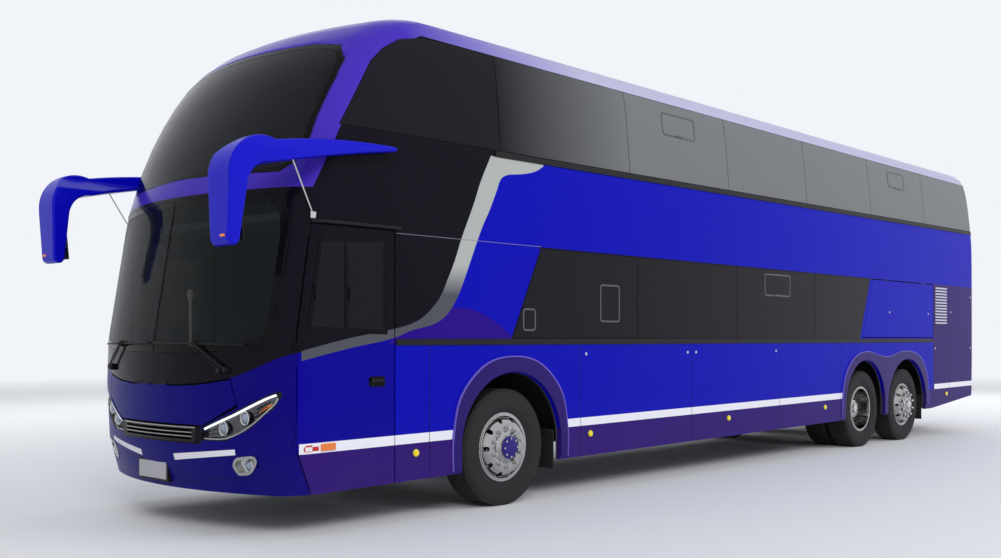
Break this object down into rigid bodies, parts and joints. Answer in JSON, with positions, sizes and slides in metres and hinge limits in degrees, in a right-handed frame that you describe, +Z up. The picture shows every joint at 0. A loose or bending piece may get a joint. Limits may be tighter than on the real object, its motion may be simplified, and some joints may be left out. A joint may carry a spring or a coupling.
{
  "type": "three-axle double-deck coach bus",
  "caption": "Double-deck touring coach with hollow body, raked upper screen, opening doors and lids, steered front wheels and rolling wheels.",
  "frame": {"origin": "on the ground under the middle of the overall box, mirrors included", "axes": "+X forward, +Y to the driver's (left) side, +Z up"},
  "size_m": [14.002, 2.86, 4.0799],
  "materials": {
    "body_paint": "gloss royal blue paint",
    "front_paint": "gloss blue-violet paint",
    "tail_paint": "gloss violet paint",
    "roof_paint": "gloss pale lavender paint",
    "dark_glass": "dark tinted bonded glass",
    "screen_glass": "laminated screen",
    "lamp_clear": "clear lamp cover over reflectors",
    "lamp_red": "red lamp lens",
    "black_plastic": "grained black plastic",
    "chassis_steel": "matt black chassis paint",
    "floor_covering": "grey floor covering",
    "seat_fabric": "woven blue-grey seat fabric",
    "tyre_rubber": "black tyre rubber",
    "polished_rim": "polished aluminium"
  },
  "bodies": {
    "body": {"left_wall": "body_paint", "right_wall": "body_paint", "front_shell": "front_paint", "front_bumper": "front_paint", "mirrors": "front_paint", "rear_wall": "tail_paint", "roof": "roof_paint", "roof_coves": "roof_paint", "fixed_windows": "dark_glass", "upper_windscreen": "dark_glass", "lower_windscreen": "screen_glass", "front_lamps": "lamp_clear", "tail_lamps": "lamp_red", "grille": "black_plastic", "wipers": "black_plastic", "dashboard": "black_plastic", "wheel_housings": "black_plastic", "engine": "black_plastic", "chassis_frame": "chassis_steel", "rear_frame": "chassis_steel", "front_axle": "chassis_steel", "rear_axles": "chassis_steel", "luggage_bay": "chassis_steel", "lower_floor": "floor_covering", "upper_floor": "floor_covering", "staircase": "floor_covering", "driver_seat": "seat_fabric", "passenger_seats": "seat_fabric"},
    "front_lid": {"front_lid": "front_paint"},
    "driver_door": {"driver_door": "body_paint", "driver_door_window": "dark_glass"},
    "passenger_door_arm": {"passenger_door_arm": "chassis_steel"},
    "passenger_door": {"passenger_door": "body_paint", "passenger_door_window": "dark_glass"},
    "left_luggage_door": {"left_luggage_door": "body_paint"},
    "right_luggage_door": {"right_luggage_door": "body_paint"},
    "engine_cover": {"engine_cover": "tail_paint"},
    "left_knuckle": {"left_knuckle": "chassis_steel"},
    "right_knuckle": {"right_knuckle": "chassis_steel"},
    "steering_wheel": {"steering_wheel": "black_plastic"},
    "front_left_wheel": {"front_left_tyre": "tyre_rubber", "front_left_rim": "polished_rim"},
    "front_right_wheel": {"front_right_tyre": "tyre_rubber", "front_right_rim": "polished_rim"},
    "drive_left_wheels": {"drive_left_tyres": "tyre_rubber", "drive_left_rims": "polished_rim"},
    "drive_right_wheels": {"drive_right_tyres": "tyre_rubber", "drive_right_rims": "polished_rim"},
    "tag_left_wheel": {"tag_left_tyre": "tyre_rubber", "tag_left_rim": "polished_rim"},
    "tag_right_wheel": {"tag_right_tyre": "tyre_rubber", "tag_right_rim": "polished_rim"}
  },
  "joints": [
    {"name": "left_steer", "type": "hinge", "parent": "body", "child": "left_knuckle", "pos_m": [4.13, 0.93, 0.505], "axis": [0, 0, 1], "range_deg": [-40, 40]},
    {"name": "right_steer", "type": "hinge", "parent": "body", "child": "right_knuckle", "pos_m": [4.13, -0.93, 0.505], "axis": [0, 0, 1], "range_deg": [-40, 40]},
    {"name": "steering_wheel_turn", "type": "hinge", "parent": "body", "child": "steering_wheel", "pos_m": [5.85, 0.62, 1.3], "axis": [-0.4695, 0, 0.8829], "range_deg": [-720, 720]},
    {"name": "front_left_spin", "type": "hinge", "parent": "left_knuckle", "child": "front_left_wheel", "pos_m": [4.13, 1.122, 0.505], "axis": [0, 1, 0], "continuous": true},
    {"name": "front_right_spin", "type": "hinge", "parent": "right_knuckle", "child": "front_right_wheel", "pos_m": [4.13, -1.122, 0.505], "axis": [0, 1, 0], "continuous": true},
    {"name": "drive_left_spin", "type": "hinge", "parent": "body", "child": "drive_left_wheels", "pos_m": [-2.92, 1.122, 0.505], "axis": [0, 1, 0], "continuous": true},
    {"name": "drive_right_spin", "type": "hinge", "parent": "body", "child": "drive_right_wheels", "pos_m": [-2.92, -1.122, 0.505], "axis": [0, 1, 0], "continuous": true},
    {"name": "tag_left_spin", "type": "hinge", "parent": "body", "child": "tag_left_wheel", "pos_m": [-4.27, 1.122, 0.505], "axis": [0, 1, 0], "continuous": true},
    {"name": "tag_right_spin", "type": "hinge", "parent": "body", "child": "tag_right_wheel", "pos_m": [-4.27, -1.122, 0.505], "axis": [0, 1, 0], "continuous": true},
    {"name": "driver_door_hinge", "type": "hinge", "parent": "body", "child": "driver_door", "pos_m": [6.35, 1.286, 1.045], "axis": [0, 0, -1], "range_deg": [0, 75]},
    {"name": "passenger_door_swing", "type": "hinge", "parent": "body", "child": "passenger_door_arm", "pos_m": [6.16, -1.195, 1.18], "axis": [0, 0, 1], "range_deg": [0, 105]},
    {"name": "passenger_door_leaf", "type": "hinge", "parent": "passenger_door_arm", "child": "passenger_door", "pos_m": [5.62, -1.215, 1.18], "axis": [0, 0, 1], "range_deg": [-105, 0]},
    {"name": "left_luggage_hinge", "type": "hinge", "parent": "body", "child": "left_luggage_door", "pos_m": [-4.22, 1.3, 2.25], "axis": [1, 0, 0], "range_deg": [0, 85]},
    {"name": "right_luggage_hinge", "type": "hinge", "parent": "body", "child": "right_luggage_door", "pos_m": [-4.22, -1.3, 2.25], "axis": [-1, 0, 0], "range_deg": [0, 85]},
    {"name": "engine_cover_hinge", "type": "hinge", "parent": "body", "child": "engine_cover", "pos_m": [-6.997, 0, 2.15], "axis": [0, 1, 0], "range_deg": [0, 80]},
    {"name": "front_lid_hinge", "type": "hinge", "parent": "body", "child": "front_lid", "pos_m": [6.758, 0, 1.095], "axis": [0, -1, 0], "range_deg": [0, 80]}
  ],
  "couplings": [
    {"joint": "right_steer", "follows": "left_steer", "ratio": 1},
    {"joint": "steering_wheel_turn", "follows": "left_steer", "ratio": 18},
    {"joint": "passenger_door_leaf", "follows": "passenger_door_swing", "ratio": -1}
  ]
}
